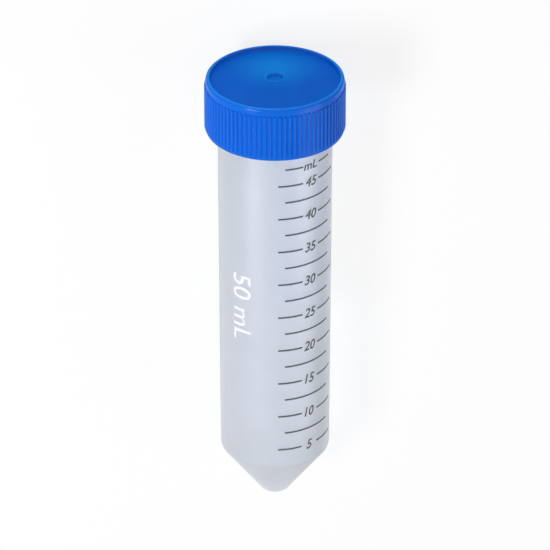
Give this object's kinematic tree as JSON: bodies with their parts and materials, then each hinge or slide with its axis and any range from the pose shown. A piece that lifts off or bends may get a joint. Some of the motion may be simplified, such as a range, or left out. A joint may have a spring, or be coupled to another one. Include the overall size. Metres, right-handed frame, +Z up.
{
  "type": "conical centrifuge tube",
  "caption": "Translucent conical-bottom sample tube with a printed volume scale and a ribbed screw cap, for spinning down, measuring and storing liquids.",
  "frame": {"origin": "on the floor, under the middle of the whole object as it lies closed at rest", "axes": "+Z up; +Y from the conical tip towards the cap, in line with the tube seen from above; +X across it, to the right when the printed scale faces up and the cap points away"},
  "size_m": [0.035, 0.1194, 0.0354],
  "materials": {
    "tube_plastic": "satin",
    "cap_plastic": "satin",
    "scale_ink": "matte",
    "panel_ink": "matte"
  },
  "bodies": {
    "tube": {"tube": "tube_plastic"},
    "cap": {"cap": "cap_plastic"}
  },
  "joints": [
    {"name": "cap_lift", "type": "slide", "parent": "tube", "child": "cap", "axis": [0, 0.9992, 0.0403], "range_m": [0, 0.04]}
  ]
}
